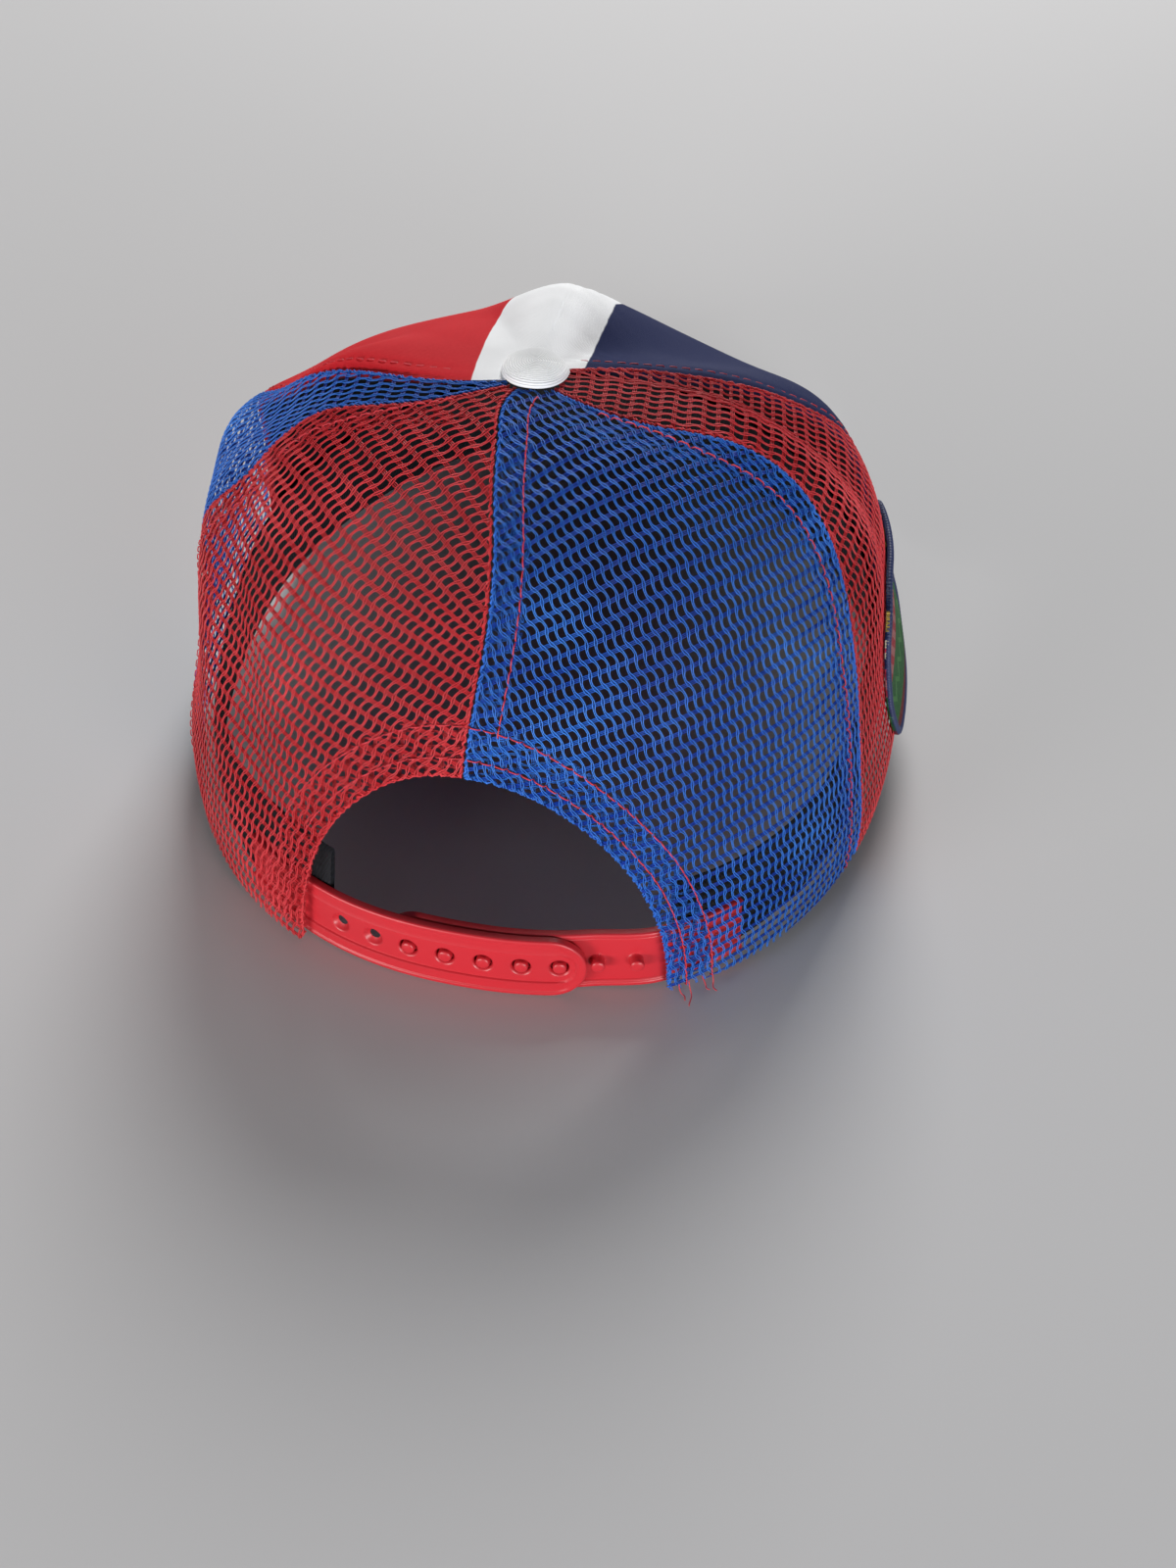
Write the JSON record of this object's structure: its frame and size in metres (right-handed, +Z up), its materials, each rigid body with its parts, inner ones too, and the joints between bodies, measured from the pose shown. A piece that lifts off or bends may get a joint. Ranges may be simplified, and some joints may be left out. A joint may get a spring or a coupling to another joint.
{
  "type": "trucker cap",
  "caption": "Six-panel snap-back cap with foam front panels, net side and rear panels, an arched rear opening, a curved visor and a side patch.",
  "frame": {"origin": "bottom centre of the whole cap, from the visor's tip to the strap at the back, on the plane that the cap rests on. The rim's plane leans back by 4.2 degrees, because the visor slopes down below it", "axes": "+Z up towards the button, -Y towards the visor's tip, +X towards the wearer's left"},
  "size_m": [0.183, 0.2581, 0.1228],
  "materials": {
    "red_foam": "red cloth laminated to foam, with a white stripe beside the centre seam",
    "navy_foam": "navy cloth laminated to foam, with a white stripe beside the centre seam",
    "red_net": "red polyester net, glossy knitted threads",
    "blue_net": "blue polyester net, glossy knitted threads",
    "red_plastic": "smooth red moulded plastic",
    "white_knit": "white ribbed knit over a button",
    "navy_cloth": "navy cloth with rows of stitches",
    "black_cloth": "plain black cloth band",
    "patch_thread": "embroidered patch in navy, cream, red and green threads"
  },
  "bodies": {
    "root": {"front_panel_right": "navy_foam", "front_panel_left": "red_foam", "side_mesh_right": "red_net", "side_mesh_left": "blue_net", "rear_mesh_right": "blue_net", "rear_mesh_left": "red_net", "rear_seam_fold": "blue_net", "right_seam_fold": "blue_net", "left_seam_fold": "red_net", "arch_hem_right": "blue_net", "arch_hem_left": "red_net", "strap_with_holes": "red_plastic", "strap_with_pegs": "red_plastic", "sweatband": "black_cloth", "visor": "navy_cloth", "top_button": "white_knit", "side_patch": "patch_thread"}
  },
  "joints": []
}
